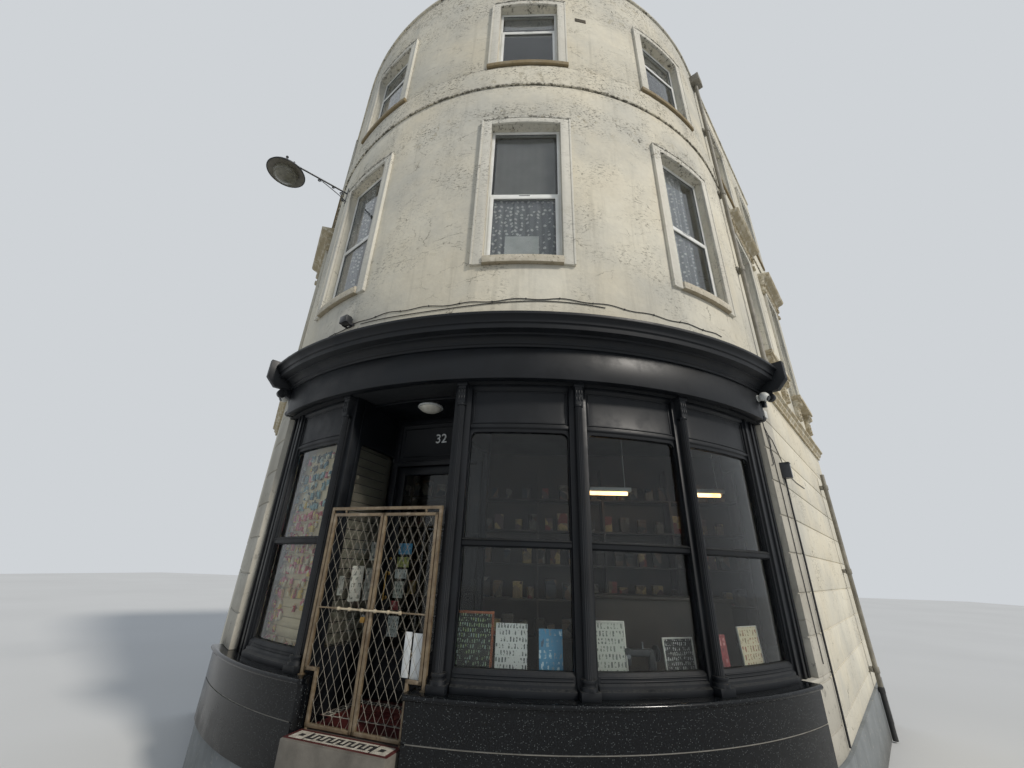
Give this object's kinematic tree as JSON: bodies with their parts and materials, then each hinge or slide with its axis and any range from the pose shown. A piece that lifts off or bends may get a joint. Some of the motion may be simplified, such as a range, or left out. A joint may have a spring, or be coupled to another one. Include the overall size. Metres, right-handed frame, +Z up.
{
  "type": "corner shop building",
  "caption": "Round-cornered three-storey stucco building with a black timber shopfront, granite plinth, recessed gated entrance, sash windows and a roof parapet.",
  "frame": {"origin": "centre of the round corner on the lowest ground, on the underside of the ground slab", "axes": "+Z up, -Y out through the middle of the round corner, +X along the shopfront to the right"},
  "size_m": [12.0933, 9.6662, 12.7],
  "materials": {
    "painted_timber": "satin black paint",
    "granite": "polished",
    "stucco": "painted stucco, weathered",
    "base_paint": "painted render",
    "party_render": "plain render",
    "concrete": "plaster and boards",
    "roof_felt": "mineral felt",
    "step_stone": "worn",
    "floor_tile": "worn glaze",
    "shop_glass": "clear",
    "sash_glass": "clear",
    "shelf_board": "painted board",
    "slat_board": "satin",
    "upvc": "smooth",
    "light_plastic": "opal",
    "gate_bronze": "bronze paint, worn",
    "brass": "worn",
    "buff_stone": "weathered paint",
    "pipe_paint": "painted",
    "lamp_metal": "satin",
    "fitting_plastic": "smooth"
  },
  "bodies": {
    "building": {"columns": "painted_timber", "end_posts": "painted_timber", "shop_windows": "painted_timber", "lobby_screens": "painted_timber", "lobby_ceiling": "painted_timber", "door_frame": "painted_timber", "fascia": "painted_timber", "cornice": "painted_timber", "consoles": "painted_timber", "plinths": "granite", "piers": "stucco", "street_walls_ground": "stucco", "beam": "stucco", "bow_wall_first": "stucco", "street_walls_first": "stucco", "bow_wall_second": "stucco", "street_walls_second": "stucco", "string_course": "stucco", "surrounds": "stucco", "coping": "stucco", "ledges": "stucco", "footings": "base_paint", "party_walls": "party_render", "ground_slab": "concrete", "shop_floor": "concrete", "upper_floors": "concrete", "roof": "roof_felt", "threshold": "step_stone", "lobby_floor": "floor_tile", "shop_glass": "shop_glass", "upper_glass": "sash_glass", "display_shelves": "shelf_board", "slatwall": "slat_board", "sashes": "upvc", "lobby_light": "light_plastic", "gate_frame": "gate_bronze", "sills": "buff_stone", "hoods": "buff_stone", "sill_tables": "buff_stone", "rainwater_pipes": "pipe_paint", "wall_lamp": "lamp_metal", "security_fittings": "fitting_plastic"},
    "gate_left": {"gate_leaf_left": "gate_bronze"},
    "gate_right": {"gate_leaf_right": "gate_bronze"},
    "door": {"shop_door": "painted_timber", "door_glass": "shop_glass", "door_handle": "brass"}
  },
  "joints": [
    {"name": "gate_left_hinge", "type": "hinge", "parent": "building", "child": "gate_left", "pos_m": [-1.6493, -4.13808, 1.9], "axis": [0, 0, 1], "range_deg": [0, 90]},
    {"name": "gate_right_hinge", "type": "hinge", "parent": "building", "child": "gate_right", "pos_m": [-0.74822, -4.39137, 1.9], "axis": [0, 0, -1], "range_deg": [0, 90]},
    {"name": "door_hinge", "type": "hinge", "parent": "building", "child": "door", "pos_m": [-0.40027, -3.46392, 2.2], "axis": [0, 0, -1], "range_deg": [0, 95]}
  ]
}
